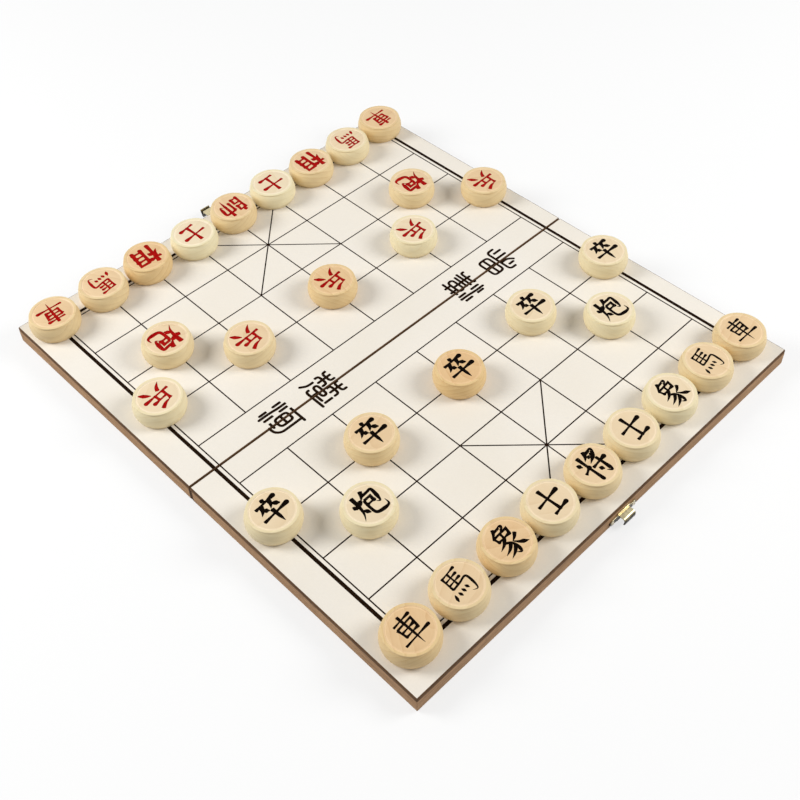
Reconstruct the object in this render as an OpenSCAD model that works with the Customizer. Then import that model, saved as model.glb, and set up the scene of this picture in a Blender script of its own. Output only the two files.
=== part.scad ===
// Folding xiangqi case, opened flat with its board up and the pieces set out for a game.
// Two shallow wooden trays are hinged under the river, and a swinging clasp holds them shut.
// +X runs along the seam, +Y points to the red side and +Z is up.

/* [Case] */
// Width of the case along the seam
case_width = 301; // [297:1:340]
// Depth of each tray, from the seam to its outer wall
tray_depth = 168; // [166:1:190]
// Height of the rails that wall each tray
rail_height = 8.8; // [8:0.2:20]
// Thickness of the rails
rail_thickness = 6; // [5.6:0.2:12]
// Thickness of the board panel glued over the rails
panel_thickness = 2.4; // [1.6:0.2:5]
// Gap between the two trays at the seam
seam_gap = 0.5; // [0.4:0.1:1]

/* [Board] */
// Distance between neighbouring files of the grid
file_pitch = 33; // [32.4:0.1:34]
// Distance between neighbouring ranks of the grid
rank_pitch = 32.8; // [32.4:0.1:33.8]
// Distance between the two ranks that face each other over the river
river_width = 35.4; // [33:0.1:38]
// How far the grid lies to the right of the middle of the case
print_shift_x = 1.8; // [0:0.2:2]
// How far the grid lies to the red side of the seam
print_shift_y = 0.8; // [0:0.2:2]

/* [Pieces] */
// Widest diameter of a piece
piece_d = 30.4; // [29:0.2:31.6]
// Height of a piece
piece_height = 12.4; // [10:0.2:16]
// Height of the widest point above the foot
belly_height = 6.2; // [4:0.1:8]
// Diameter of the flat foot
foot_d = 26.4; // [24:0.2:28]
// Diameter of the face, inside its rounded edge
face_d = 27; // [25:0.2:28]
// Diameter of the groove turned in the face
groove_d = 24; // [18:0.2:24.4]
// Width of the groove
groove_width = 0.8; // [0.4:0.1:1.2]
// Depth of the groove below the rim of the face
groove_depth = 0.45; // [0.3:0.05:0.8]
// How far the middle of the face lies below its rim
face_drop = 0.2; // [0.1:0.05:0.3]
// Step in which a piece is set down off its point of the grid
nudge = 0.1; // [0.05:0.01:0.1]

/* [Hinges] */
// Distance of each hinge from the middle of the seam
hinge_offset = 95; // [50:1:125]
// Length of a hinge along the seam
hinge_length = 22; // [18:1:34]
// Outer diameter of the hinge barrel
barrel_d = 2.2; // [2:0.1:3]
// Diameter of the hinge pin
hinge_pin_d = 1; // [0.8:0.1:1.2]
// Thickness of a hinge leaf
leaf_thickness = 0.7; // [0.6:0.05:0.9]
// Reach of a leaf from the hinge axis
leaf_reach = 5.2; // [4.8:0.1:5.4]
// Number of knuckles in a barrel
knuckle_count = 5; // [3:2:7]
// Distance of a leaf's nails from its ends
leaf_nail_inset = 3.5; // [2.5:0.1:5]
// Diameter of a sunk nail's head
sunk_head_d = 2.2; // [1.8:0.1:2.4]

/* [Clasp] */
// Diameter of every nail's shaft
nail_d = 1.2; // [0.8:0.1:1.4]
// Length of the nails in the wood
nail_length = 4.4; // [3:0.1:5]
// Diameter of a round nail head
dome_d = 2.8; // [2:0.1:3.6]
// Height of a round nail head
dome_height = 0.7; // [0.4:0.1:1]
// Thickness of the sheet that the clasp is made of
sheet = 0.8; // [0.5:0.05:0.9]
// Distance between the two nails of a clasp plate
clasp_nail_pitch = 17.4; // [17:0.2:24]
// Height of the clasp's nails above the rim
clasp_nail_z = 3.7; // [3.4:0.1:4.4]
// Radius of the round ears at the nails
ear_r = 2.2; // [1.8:0.1:2.6]
// Width of the keeper's hood
hood_width = 8.6; // [6:0.2:10]
// How far the hood stands out from the wall
hood_reach = 5.5; // [4.5:0.1:5.6]
// Height of the hood's top above the rim
hood_top = 5.9; // [5.6:0.1:6.1]
// Outer radius of the bend in the hood
hood_bend_r = 2; // [1.2:0.1:2.6]
// Height of the hood's lower lip above the rim
hood_lip = 1.4; // [1:0.1:2.4]
// Height of the keeper's plate
keeper_height = 7.4; // [7:0.1:8]
// Width of the latch lever
lever_width = 8; // [6:0.2:8.4]
// Outer diameter of the latch knuckles
latch_knuckle_d = 2.5; // [2.2:0.1:2.6]
// Width of each outer latch knuckle
latch_knuckle_width = 2.6; // [2:0.1:3.2]
// Diameter of the latch pin
latch_pin_d = 1; // [0.8:0.1:1.2]
// Distance of the latch pin from the wall
pivot_out = 2; // [1.9:0.1:2.4]
// Height of the latch pin above the rim
pivot_up = 1.85; // [1.8:0.05:2.2]
// Length of the latch lever from its pin to its lip
lever_length = 12; // [11.4:0.1:16]
// Height of the latch plate's upper edge above the rim
latch_plate_top = 7.8; // [7:0.1:8.4]

/* [Fits] */
// Radial clearance of a pin in its knuckles
pin_clearance = 0.05; // [0.03:0.01:0.08]
// Radial clearance round a nail and along the edge of a let-in leaf
wood_clearance = 0.05; // [0.02:0.01:0.1]
// Gap between neighbouring knuckles
knuckle_gap = 0.2; // [0.1:0.05:0.3]
// Clearance round a barrel and round what swings past it
swing_clearance = 0.3; // [0.25:0.05:0.4]
// How far a leaf lies below the face of the rim
leaf_sink = 0.05; // [0.02:0.01:0.1]

/* [Hidden] */
$fn = 64;
// Each piece: its name, its file and rank, and how many nudges off that point it was set down.
// Files run from left to right, and ranks from the red back row to the black back row.
layout = [
    ["red_chariot_left", 0, 0, [-35, 15]],
    ["red_horse_left", 1, 0, [-15, 20]],
    ["red_elephant_left", 2, 0, [-15, 20]],
    ["red_advisor_left", 3, 0, [-5, -10]],
    ["red_general", 4, 0, [0, 10]],
    ["red_advisor_right", 5, 0, [5, 15]],
    ["red_elephant_right", 6, 0, [5, 0]],
    ["red_horse_right", 7, 0, [10, 0]],
    ["red_chariot_right", 8, 0, [12, 25]],
    ["red_cannon_left", 1, 2, [-22, 18]],
    ["red_cannon_right", 7, 2, [-10, 10]],
    ["red_soldier_1", 0, 3, [12, 20]],
    ["red_soldier_2", 2, 3, [-16, 6]],
    ["red_soldier_3", 4, 3, [-15, 20]],
    ["red_soldier_4", 6, 3, [-10, -10]],
    ["red_soldier_5", 8, 3, [0, 4]],
    ["black_soldier_1", 0, 6, [-35, 0]],
    ["black_soldier_2", 2, 6, [-5, 5]],
    ["black_soldier_3", 4, 6, [0, -10]],
    ["black_soldier_4", 6, 6, [-10, 25]],
    ["black_soldier_5", 8, 6, [5, 20]],
    ["black_cannon_left", 1, 7, [0, 10]],
    ["black_cannon_right", 7, 7, [-40, 5]],
    ["black_chariot_left", 0, 9, [-20, 20]],
    ["black_horse_left", 1, 9, [-15, 25]],
    ["black_elephant_left", 2, 9, [-5, 25]],
    ["black_advisor_left", 3, 9, [-10, 25]],
    ["black_general", 4, 9, [-10, 15]],
    ["black_advisor_right", 5, 9, [-5, 20]],
    ["black_elephant_right", 6, 9, [10, 25]],
    ["black_horse_right", 7, 9, [10, 20]],
    ["black_chariot_right", 8, 9, [8, 20]]
];
CASE_NODES = [
    for (side = ["near", "far"])
        each [for (part = ["panel", "outer_rail", "seam_rail", "left_rail", "right_rail"]) str(side, "_", part)]
];
HINGE_NODES = [
    for (end = ["left", "right"]) each [for (part = ["near_leaf", "far_leaf", "pin"]) str(end, "_", part)],
    "near_hinge_nails",
    "far_hinge_nails"
];
CLASP_NODES = ["keeper", "keeper_nails", "latch_plate", "latch_lever", "latch_pin", "latch_nails"];
PIECE_NODES = [for (row = layout) row[0]];

middle_file = 4;
last_red_rank = 4;
curve_steps = 6;
// How far a cutter runs past the face that it opens
spill = 1;

half_gap = seam_gap / 2;
wall_y = half_gap + tray_depth;
board_top = rail_height + panel_thickness;
barrel_r = barrel_d / 2;
barrel_notch_r = barrel_r + swing_clearance;
leaf_top = leaf_sink + leaf_thickness;
leaf_nail_x = hinge_length / 2 - leaf_nail_inset;
leaf_nail_y = (barrel_notch_r + leaf_reach) / 2;
sunk_land = 0.15;
sunk_depth = leaf_thickness - sunk_land;
nail_hole_r = nail_d / 2 + wood_clearance;
nail_end_room = 0.2;
nail_hole_depth = nail_length + nail_end_room;
nail_point = 0.8;
nail_tip_r = 0.1;
knuckle_lap = 0.5;
clasp_nail_x = clasp_nail_pitch / 2;
ear_waist = 0.8 * ear_r;
web_lap = 0.5;
web_rise = 0.4;
web_drop = 0.2;
keeper_margin = 0.6;
keeper_skirt = 0.4;
plate_inset = 0.8;
latch_knuckle_r = latch_knuckle_d / 2;
latch_knuckle_end = lever_width / 2 + knuckle_gap + latch_knuckle_width;
latch_notch_top = pivot_up + latch_knuckle_r + swing_clearance;

// The lever's bent strap, seen along the pin with the clasp shut: distances out from the wall
// and up from the pin. It clears the hood all the way round, shut and while it swings.
strap_out = hood_reach + swing_clearance + sheet / 2;
crank_rise = 2;
hood_clearance = 0.25;
bend_up = pivot_up + hood_top + hood_clearance;
bead_r = 0.6;
bead_rise = 1.4;
bead = [sheet + swing_clearance + sheet / 2 + bead_r, bend_up + bead_rise];
lip_inset = 0.7;
lip_taper = 0.8;
lip_taper_length = 4;
lever_path = concat(
    [[pivot_out, 0], [strap_out, crank_rise], [strap_out, bend_up]],
    arc(bead, bead_r, 250, 110, 4),
    [[strap_out - lip_inset, lever_length]]
);
lever_outline = strip(lever_path, sheet);
lever_reach = pivot_out + max([for (point = lever_outline) point[1]]);

// The hood's bent strip, seen along the seam: distances out from the wall and up from the rim.
hood_bend = [hood_reach - hood_bend_r, hood_top - hood_bend_r];
lip_height = 1;
lip_lean = 0.5;
hood_path = concat(
    [[sheet / 2, hood_top - sheet / 2]],
    arc(hood_bend, hood_bend_r - sheet / 2, 90, 0, curve_steps),
    [[hood_reach - sheet / 2, hood_lip + lip_height], [hood_reach - sheet / 2 - lip_lean, hood_lip]]
);

// The rims stand clear of the ground by the half of the hinge barrels that hangs below them,
// and the middle of the whole outline lies at the origin.
ground_to_rim = barrel_r;
centre_shift = (hood_reach - lever_reach) / 2;

function arc(centre, radius, from, to, steps) = [
    for (i = [0:steps])
        let (a = from + (to - from) * i / steps)
            centre + radius * [cos(a), sin(a)]
];
function unit(v) = v / norm(v);
function square_off(v) = [-v[1], v[0]];

// Offset of one point of a path to its left, mitred between the two runs that meet there
function mitre(path, i, half) =
    let (before = unit(path[max(i, 1)] - path[max(i, 1) - 1]))
    let (after = unit(path[min(i + 1, len(path) - 1)] - path[min(i, len(path) - 2)]))
    let (side = unit(square_off(before) + square_off(after)))
        path[i] + side * half / (side * square_off(before));

// Outline of a bent strip of even thickness that follows a path
function strip(path, thickness) = concat(
    [for (i = [0:len(path) - 1]) mitre(path, i, thickness / 2)],
    [for (i = [len(path) - 1:-1:0]) mitre(path, i, -thickness / 2)]
);

// Outline of a piece from its foot over the belly to the groove in its face
function quarter(inner_r, outer_r, middle, height, from, to) = [
    for (i = [0:curve_steps])
        let (a = from + (to - from) * i / curve_steps)
            [inner_r + (outer_r - inner_r) * cos(a), middle + height * sin(a)]
];
piece_outline = concat(
    [[0, 0]],
    quarter(foot_d / 2, piece_d / 2, belly_height, belly_height, -90, 0),
    quarter(face_d / 2, piece_d / 2, belly_height, piece_height - belly_height, 15, 90),
    [
        [groove_d / 2 + groove_width / 2, piece_height],
        [groove_d / 2, piece_height - groove_depth],
        [groove_d / 2 - groove_width / 2, piece_height - face_drop],
        [0, piece_height - face_drop]
    ]
);

function grid_x(file) = print_shift_x + (file - middle_file) * file_pitch;
function grid_y(rank) = print_shift_y
    + (rank <= last_red_rank
        ? river_width / 2 + (last_red_rank - rank) * rank_pitch
        : -river_width / 2 - (rank - last_red_rank - 1) * rank_pitch);

module placed() {
    translate([0, centre_shift, ground_to_rim]) children();
}

// Everything of one tray is drawn for the far side, and turned over the seam for the near side
module on_side(side) {
    if (side == "far") children();
    else mirror([0, 1, 0]) children();
}

// Lays a shape drawn as distance out from the wall and height over an even width along the seam
module across(width) {
    rotate([90, 0, 90])
        linear_extrude(width, center = true) children();
}

// Stands a shape drawn as place along the seam and height flat on the outer wall
module on_wall(thickness) {
    translate([0, wall_y + thickness, 0])
        rotate([90, 0, 0])
            linear_extrude(thickness) children();
}

module hinge_places() {
    for (x = [-hinge_offset, hinge_offset]) translate([x, 0, 0]) children();
}

module leaf_nail_places() {
    for (x = [-leaf_nail_x, leaf_nail_x]) translate([x, leaf_nail_y, 0]) children();
}

module clasp_nail_places() {
    for (x = [-clasp_nail_x, clasp_nail_x])
        translate([x, wall_y, clasp_nail_z])
            rotate([-90, 0, 0]) children();
}

// Solid along the seam's direction, from one place to another
module rod(radius, from, to) {
    translate([from, 0, 0])
        rotate([0, 90, 0])
            cylinder(r = radius, h = to - from);
}

module rail_stock(points) {
    linear_extrude(rail_height) polygon(points);
}

module seam_rail() {
    half = case_width / 2;
    difference() {
        rail_stock([
            [-half, half_gap],
            [half, half_gap],
            [half - rail_thickness, half_gap + rail_thickness],
            [rail_thickness - half, half_gap + rail_thickness]
        ]);
        hinge_places() {
            room = hinge_length / 2 + swing_clearance;
            rod(barrel_notch_r, -room, room);
            translate([-hinge_length / 2 - wood_clearance, 0, -spill])
                cube([hinge_length + 2 * wood_clearance, leaf_reach + wood_clearance, leaf_top + spill]);
            leaf_nail_places() cylinder(r = nail_hole_r, h = nail_hole_depth);
        }
    }
}

module outer_rail() {
    half = case_width / 2;
    difference() {
        rail_stock([
            [rail_thickness - half, wall_y - rail_thickness],
            [half - rail_thickness, wall_y - rail_thickness],
            [half, wall_y],
            [-half, wall_y]
        ]);
        clasp_nail_places()
            translate([0, 0, -nail_hole_depth])
                cylinder(r = nail_hole_r, h = nail_hole_depth + spill);
    }
}

module side_rail(sign) {
    half = case_width / 2;
    rail_stock([
        [sign * (half - rail_thickness), half_gap + rail_thickness],
        [sign * half, half_gap],
        [sign * half, wall_y],
        [sign * (half - rail_thickness), wall_y - rail_thickness]
    ]);
}

module panel() {
    translate([-case_width / 2, half_gap, rail_height])
        cube([case_width, tray_depth, panel_thickness]);
}

// A leaf has every second knuckle: the near one those with an even number, counted from 0
module hinge_leaf(first) {
    pitch = hinge_length / knuckle_count;
    difference() {
        union() {
            translate([-hinge_length / 2, barrel_notch_r, leaf_sink])
                cube([hinge_length, leaf_reach - barrel_notch_r, leaf_thickness]);
            for (i = [first:2:knuckle_count - 1]) {
                from = i * pitch - hinge_length / 2 + knuckle_gap / 2;
                to = from + pitch - knuckle_gap;
                rod(barrel_r, from, to);
                translate([from, 0, leaf_sink])
                    cube([to - from, barrel_notch_r + knuckle_lap, leaf_thickness]);
            }
        }
        rod(hinge_pin_d / 2 + pin_clearance, -hinge_length, hinge_length);
        leaf_nail_places()
            translate([0, 0, leaf_sink]) {
                sunk_head(wood_clearance);
                cylinder(r = nail_hole_r, h = leaf_thickness + spill);
            }
    }
}

module hinge_pin() {
    rod(hinge_pin_d / 2, -hinge_length / 2, hinge_length / 2);
}

module sunk_head(spare) {
    cylinder(r1 = sunk_head_d / 2 + spare, r2 = nail_d / 2 + spare, h = sunk_depth);
}

module nail_shaft(length) {
    cylinder(r = nail_d / 2, h = length - nail_point);
    translate([0, 0, length - nail_point])
        cylinder(r1 = nail_d / 2, r2 = nail_tip_r, h = nail_point);
}

module hinge_nails() {
    hinge_places()
        leaf_nail_places()
            translate([0, 0, leaf_sink]) {
                sunk_head(0);
                nail_shaft(nail_length);
            }
}

// A nail with a round head that holds a plate of the clasp to the wall
module domed_nail() {
    cap_r = (dome_d * dome_d / 4 + dome_height * dome_height) / (2 * dome_height);
    mirror([0, 0, 1]) nail_shaft(nail_length);
    cylinder(r = nail_d / 2, h = sheet + dome_height / 2);
    translate([0, 0, sheet])
        intersection() {
            cylinder(r = dome_d, h = 2 * dome_height);
            translate([0, 0, dome_height - cap_r]) sphere(r = cap_r);
        }
}

// Plate outline with a round ear at each nail, drawn in toward the middle part
module eared_plate(half_width, low, high) {
    difference() {
        union() {
            translate([-half_width, low]) square([2 * half_width, high - low]);
            for (sign = [-1, 1]) {
                translate([sign * clasp_nail_x, clasp_nail_z]) circle(r = ear_r);
                polygon([
                    [sign * (half_width - web_lap), clasp_nail_z + ear_r + web_rise],
                    [sign * clasp_nail_x, clasp_nail_z + ear_waist],
                    [sign * clasp_nail_x, clasp_nail_z - ear_waist],
                    [sign * (half_width - web_lap), clasp_nail_z - ear_r - web_drop]
                ]);
            }
        }
        for (x = [-clasp_nail_x, clasp_nail_x]) translate([x, clasp_nail_z]) circle(r = nail_hole_r);
    }
}

module keeper() {
    on_wall(sheet) eared_plate(hood_width / 2 + keeper_margin, hood_lip - keeper_skirt, keeper_height);
    translate([0, wall_y, 0])
        across(hood_width) polygon(strip(hood_path, sheet));
}

module latch_plate() {
    difference() {
        union() {
            on_wall(sheet) eared_plate(latch_knuckle_end - plate_inset, pivot_up, latch_plate_top);
            for (sign = [-1, 1]) {
                inner = lever_width / 2 + knuckle_gap;
                middle = sign * (inner + latch_knuckle_width / 2);
                translate([middle, wall_y + pivot_out, pivot_up])
                    rod(latch_knuckle_r, -latch_knuckle_width / 2, latch_knuckle_width / 2);
                translate([middle, wall_y + pivot_out / 2, pivot_up + latch_knuckle_r - sheet / 2])
                    cube([latch_knuckle_width, pivot_out, sheet], center = true);
                translate([middle, wall_y + sheet / 2, pivot_up + latch_knuckle_r])
                    cube([latch_knuckle_width, sheet, 2 * latch_knuckle_r], center = true);
            }
        }
        translate([0, wall_y + pivot_out, pivot_up])
            rod(latch_pin_d / 2 + pin_clearance, -case_width, case_width);
        translate([-lever_width / 2 - knuckle_gap, wall_y - spill, -spill])
            cube([
                lever_width + 2 * knuckle_gap,
                pivot_out + latch_knuckle_r + 2 * spill,
                latch_notch_top + spill
            ]);
    }
}

// At rest the lever has swung a quarter turn from the shut clasp and points straight out,
// so what runs up from the pin there runs out from the wall here
module latch_lever() {
    lip_half = lever_width / 2 - lip_taper;
    cutter_height = 2 * lever_length;
    translate([0, wall_y + pivot_out, pivot_up]) {
        difference() {
            union() {
                rod(latch_knuckle_r, -lever_width / 2, lever_width / 2);
                across(lever_width)
                    polygon([for (point = lever_outline) [point[1], point[0] - pivot_out]]);
            }
            rod(latch_pin_d / 2 + pin_clearance, -case_width, case_width);
            for (sign = [-1, 1])
                linear_extrude(cutter_height, center = true)
                    polygon([
                        [sign * lever_width / 2, lever_length - lip_taper_length],
                        [sign * lip_half, lever_length + 2 * spill],
                        [sign * lever_width, lever_length + 2 * spill],
                        [sign * lever_width, lever_length - lip_taper_length]
                    ]);
        }
    }
}

module latch_pin() {
    translate([0, wall_y + pivot_out, pivot_up])
        rod(latch_pin_d / 2, -latch_knuckle_end, latch_knuckle_end);
}

module wood_rail(side) {
    color([0.55, 0.41, 0.30]) placed() on_side(side) children();
}

module board_panel(side) {
    color([0.95, 0.92, 0.86]) placed() on_side(side) panel();
}

module hinge_metal(x) {
    color([0.72, 0.66, 0.52]) placed() translate([x, 0, 0]) children();
}

module clasp_metal(side) {
    color([0.80, 0.76, 0.66]) placed() on_side(side) children();
}

module game_piece(row) {
    place = [grid_x(row[1]) + row[3][0] * nudge, grid_y(row[2]) + row[3][1] * nudge, board_top];
    color([0.91, 0.82, 0.65])
        placed()
            translate(place)
                rotate_extrude() polygon(piece_outline);
}

board_panel("near");  // near_panel
wood_rail("near") outer_rail();  // near_outer_rail
wood_rail("near") seam_rail();  // near_seam_rail
wood_rail("near") side_rail(-1);  // near_left_rail
wood_rail("near") side_rail(1);  // near_right_rail
board_panel("far");  // far_panel
wood_rail("far") outer_rail();  // far_outer_rail
wood_rail("far") seam_rail();  // far_seam_rail
wood_rail("far") side_rail(-1);  // far_left_rail
wood_rail("far") side_rail(1);  // far_right_rail
hinge_metal(-hinge_offset) on_side("near") hinge_leaf(0);  // left_near_leaf
hinge_metal(-hinge_offset) on_side("far") hinge_leaf(1);  // left_far_leaf
hinge_metal(-hinge_offset) hinge_pin();  // left_pin
hinge_metal(hinge_offset) on_side("near") hinge_leaf(0);  // right_near_leaf
hinge_metal(hinge_offset) on_side("far") hinge_leaf(1);  // right_far_leaf
hinge_metal(hinge_offset) hinge_pin();  // right_pin
hinge_metal(0) on_side("near") hinge_nails();  // near_hinge_nails
hinge_metal(0) on_side("far") hinge_nails();  // far_hinge_nails
clasp_metal("near") keeper();
clasp_metal("near") clasp_nail_places() domed_nail();  // keeper_nails
clasp_metal("far") latch_plate();
clasp_metal("far") latch_lever();
clasp_metal("far") latch_pin();
clasp_metal("far") clasp_nail_places() domed_nail();  // latch_nails
for (row = layout) game_piece(row);
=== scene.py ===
import math
import random

import bmesh
import bpy
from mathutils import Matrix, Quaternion, Vector, geometry


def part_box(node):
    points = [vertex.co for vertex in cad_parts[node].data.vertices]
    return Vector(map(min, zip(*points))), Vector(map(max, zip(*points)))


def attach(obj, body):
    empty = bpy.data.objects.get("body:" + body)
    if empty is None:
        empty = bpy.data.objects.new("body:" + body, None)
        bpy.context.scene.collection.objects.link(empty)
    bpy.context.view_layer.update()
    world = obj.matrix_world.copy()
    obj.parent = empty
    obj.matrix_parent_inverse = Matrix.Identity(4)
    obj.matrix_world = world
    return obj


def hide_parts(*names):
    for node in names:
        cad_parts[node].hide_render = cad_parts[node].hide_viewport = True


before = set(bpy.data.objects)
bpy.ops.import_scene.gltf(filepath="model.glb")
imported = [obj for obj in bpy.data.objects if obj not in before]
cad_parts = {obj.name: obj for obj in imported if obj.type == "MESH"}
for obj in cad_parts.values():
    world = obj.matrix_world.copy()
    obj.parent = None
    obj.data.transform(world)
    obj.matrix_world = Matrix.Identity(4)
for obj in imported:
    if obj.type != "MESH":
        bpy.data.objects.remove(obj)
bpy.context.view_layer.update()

MM = 0.001

# Camera: where it stands, the point of the board on its axis, and how it is held
CAMERA_PLACE = Vector((-313.6, -343.0, 494.9))
CAMERA_TARGET = Vector((1.45, -7.86, 12.3))
CAMERA_LOOK = (CAMERA_TARGET - CAMERA_PLACE).normalized()
CAMERA_ROLL = math.radians(-1.92)
CAMERA_RANGE = (0.01, 20.0)
LENS_PER_WIDTH = 1.4224
SENSOR_WIDTH = 36.0
AXIS_ABOVE_MIDDLE = 60 / 800

# Light: the share of a plain level that the surroundings and each lamp give, and the lamps' places
SURROUNDING_SHARE = 0.30
LAMP_SIDE = 950.0
LAMP_HEIGHT = 720.0
LAMP_SIZE = 600.0
LAMP_SHARES = {"left_lamp": 0.38, "right_lamp": 0.33}
LOW_LAMP_DEPTH = 1100.0
LOW_LAMP_SIZE = 1200.0
LOW_LAMP_SHARE = 0.55

# Floor: the share that it covers for the light and for the camera, and where it fades out
FLOOR_SHARE = 0.55
FLOOR_SHARE_SEEN = 0.30
FLOOR_FADE = (450.0, 1100.0)
FLOOR_REACH = 1500.0

# Board print, in millimetres
FILE_PITCH = 33.0
RANK_PITCH = 32.8
RIVER_WIDTH = 35.4
GRID_SHIFT_X = 1.8
GRID_SHIFT_Y = 0.8
FILES = 9
RANKS_PER_SIDE = 5
FIRST_RANK = RIVER_WIDTH / 2
LAST_RANK = FIRST_RANK + (RANKS_PER_SIDE - 1) * RANK_PITCH
PALACE_MIDDLE = LAST_RANK - RANK_PITCH
LINE_WIDTH = 0.78
BORDER_WIDTH = 2.1
BORDER_OFFSET = 3.2
INK_HEIGHT = 0.03
INK_STEP = 0.004
SEAM_MARGIN = 0.5
PALACE_DOT = 0.7
DOT_STEPS = 16

# River marks, in millimetres: their strokes, their half-size and where each one stands along the seam
MARK_STROKE = 0.86
MARK_CORNER = 2.4
MARK_SIZE = (10.2, 9.4)
MARK_PLACES = {"river": -88.3, "reeds": -56.6, "stream": 58.0, "border": 89.2}
MARKS_REACH = 140.0

# Case, in millimetres, with the angles that keep an edge sharp or a face flat
PANEL_EDGE = 0.6
PANEL_SEGMENTS = 3
# How far the painted shade beside the seam's gap reaches, in millimetres
SEAM_SHADE_REACH = 1.8
RAIL_EDGE = 0.2
SHORTEST_RAIL_EDGE = 2.0
CLASP_EDGE = 0.1
SHORTEST_CLASP_EDGE = 0.05
# Heights in millimetres over which the clasp's metal goes from painted shade, near black, to its own
# colour
CLASP_SHADE_HEIGHTS = (4.6, 8.6)
SHARP_ANGLE = math.radians(35)
FLAT_ANGLE = math.radians(0.5)
LEVEL_NORMAL = 0.999
CAD_WELD = 0.001

# Fibreboard: its fibres and its streaks in millimetres, by the way they lie
GRAIN_SIZES = {
    "x": ((5.0, 0.35, 0.3), (22.0, 1.6, 1.1)),
    "y": ((0.35, 5.0, 0.3), (1.6, 22.0, 1.1)),
    "z": ((0.6, 0.6, 0.6), (9.0, 9.0, 3.0)),
}

# Game piece, in millimetres: the groove's shape is in shares of its half-width and its depth
ROUND_STEPS = 96
BELLY_HEIGHT = 6.2
FOOT_R = 13.2
FOOT_LIFT = 0.045
LIP_R = 13.95
LIP_ROUND = 0.25
LIP_HEIGHT = 0.8
NECK_DEPTH = 0.25
NECK_HEIGHT = 0.5
SIDE_SWEEP = math.radians(55)
GROOVE_R = 11.9
GROOVE_HALF = 0.4
GROOVE_DEPTH = 0.36
GROOVE_SHAPE = ((1.4, 0.0), (1.0, 0.1), (0.35, 0.85), (0.0, 1.0), (-0.4, 0.85))
FACE_DROP = 0.2
ENGRAVING_DEPTH = 0.18
FIGURE_SCALE = 0.93
# Height in millimetres over which the piece's wood is painted darker towards its foot, as shade
FOOT_SHADE = 4.0
SIDE_STEPS = 10
LIP_STEPS = 3
BLANK_WELD = 0.0001
PIECE_WELD = 0.0005
TILT_LIMIT = 6.0
PIECE_SEED = 32
COAT_ROUGHNESS = 0.2

# How white (0) or tan (1) the wood of each piece is
WOOD_TONES = {
    "red_chariot_left": 0.62, "red_horse_left": 0.55, "red_elephant_left": 0.78,
    "red_advisor_left": 0.0, "red_general": 0.60, "red_advisor_right": 0.02,
    "red_elephant_right": 0.55, "red_horse_right": 0.22, "red_chariot_right": 0.66,
    "red_cannon_left": 0.36, "red_cannon_right": 0.50,
    "red_soldier_1": 0.14, "red_soldier_2": 0.42, "red_soldier_3": 0.75,
    "red_soldier_4": 0.08, "red_soldier_5": 0.60,
    "black_soldier_1": 0.22, "black_soldier_2": 0.55, "black_soldier_3": 0.85,
    "black_soldier_4": 0.18, "black_soldier_5": 0.20,
    "black_cannon_left": 0.12, "black_cannon_right": 0.08,
    "black_chariot_left": 0.76, "black_horse_left": 0.50, "black_elephant_left": 0.72,
    "black_advisor_left": 0.28, "black_general": 0.50, "black_advisor_right": 0.28,
    "black_elephant_right": 0.12, "black_horse_right": 0.48, "black_chariot_right": 0.60,
}

# Strokes: steps along curves and straight runs and round ends and corners, and limits
CURVE_STEPS = 6
STRAIGHT_STEPS = 3
END_STEPS = 5
CORNER_STEPS = 4
MITRE_LIMIT = 0.6
SHORTEST_RUN = 0.1
CUT_WELD = 1e-4

# Half-widths of a brush stroke from its head to its tip, in millimetres
BRUSH = {
    "bar": (1.00, 0.62, 0.70, 1.40),
    "stem": (1.30, 0.85, 0.85, 1.15),
    "needle": (1.25, 1.00, 0.95, 0.15),
    "fall": (1.35, 1.15, 0.75, 0.12),
    "sweep": (0.30, 0.90, 1.60, 0.15),
    "dot": (0.30, 1.15, 1.45, 0.60),
    "turn": (0.95, 0.75, 0.95, 1.10),
    "hook": (0.95, 0.90, 1.25, 0.15),
}
STRAIGHT_STROKES = {"bar", "stem", "turn", "needle"}

# How broad each figure's strokes are, as a share of the brush
FIGURE_WEIGHTS = {
    "red_chariot": 0.87, "red_horse": 0.75, "red_elephant": 1.26, "red_advisor": 1.03,
    "red_general": 1.0, "red_cannon": 1.16, "red_soldier": 0.96,
    "black_chariot": 0.70, "black_horse": 0.62, "black_elephant": 0.82, "black_advisor": 0.98,
    "black_general": 1.02, "black_cannon": 0.96, "black_soldier": 1.08,
}

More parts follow.
